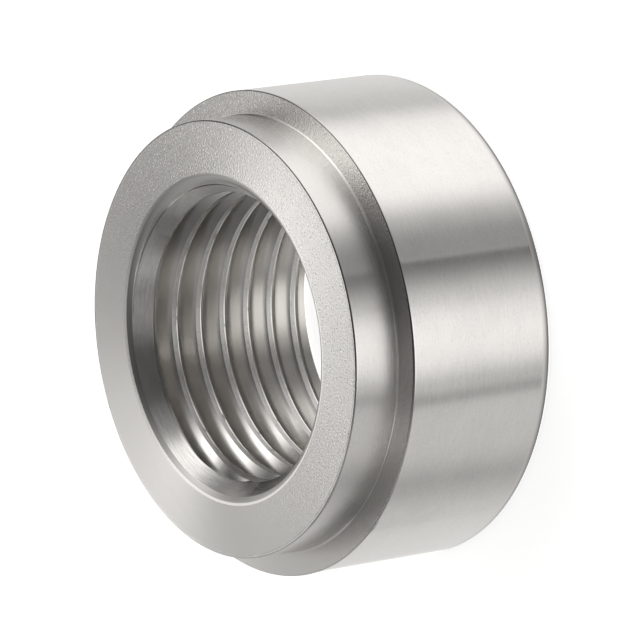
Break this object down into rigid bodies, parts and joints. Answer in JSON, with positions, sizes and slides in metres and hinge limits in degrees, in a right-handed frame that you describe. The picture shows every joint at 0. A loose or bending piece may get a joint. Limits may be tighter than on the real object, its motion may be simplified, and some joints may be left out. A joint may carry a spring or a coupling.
{
  "type": "weld bung",
  "caption": "Stepped ring turned from stainless bar, with a locating spigot and an internal right-hand screw thread, to be welded into a hole in a pipe.",
  "frame": {"origin": "centre of the large back face, on the bore axis", "axes": "+Z along the bore axis, out through the spigot; the part stands on its back face"},
  "size_m": [0.0244, 0.0244, 0.0111],
  "materials": {
    "turned_stainless": "bare stainless steel, fine turned, bright with faint tool rings"
  },
  "bodies": {
    "root": {"weld_bung": "turned_stainless"}
  },
  "joints": []
}
